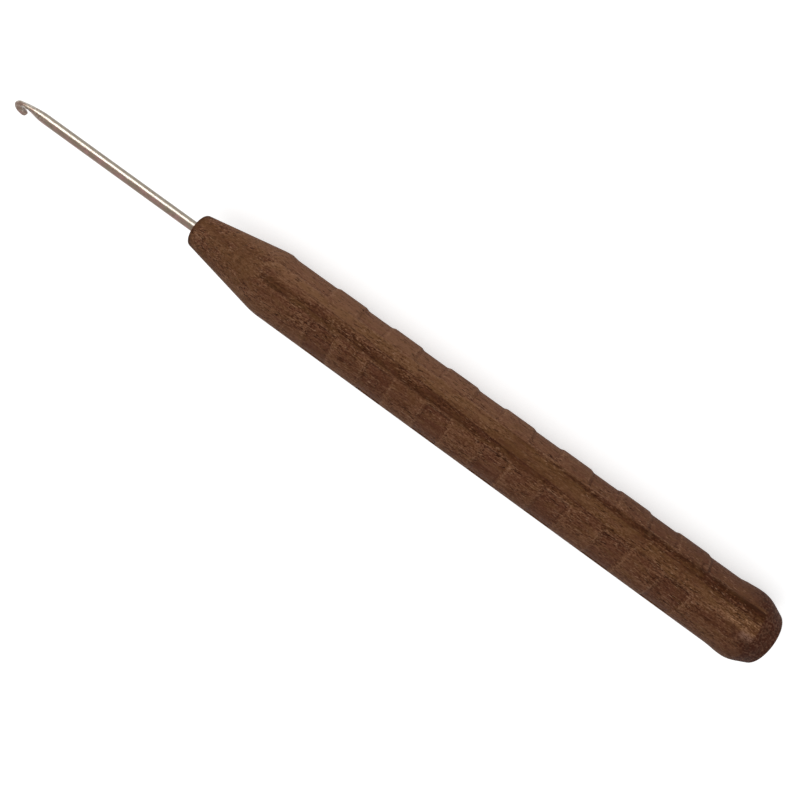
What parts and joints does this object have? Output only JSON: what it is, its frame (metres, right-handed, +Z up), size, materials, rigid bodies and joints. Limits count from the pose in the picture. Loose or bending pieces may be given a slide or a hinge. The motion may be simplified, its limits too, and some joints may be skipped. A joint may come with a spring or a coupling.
{
  "type": "crochet hook",
  "caption": "Steel crochet hook with a round shank, glued into a turned wooden handle that has flats along it and shallow carved recesses between them.",
  "frame": {"origin": "on the surface that the hook lies on, under the middle of its whole length", "axes": "+X along the hook from the handle's butt to the hook's tip, +Z up, out of the surface that it lies on"},
  "size_m": [0.1658, 0.0132, 0.0126],
  "materials": {
    "walnut": "dark close-grained hardwood, sanded and thinly oiled, satin",
    "polished_steel": "polished steel wire, faint drawing lines along it",
    "cured_glue": "cured two-part adhesive, amber, hidden in the bore"
  },
  "bodies": {
    "root": {"handle": "walnut", "steel_hook": "polished_steel", "tang_glue": "cured_glue"}
  },
  "joints": []
}
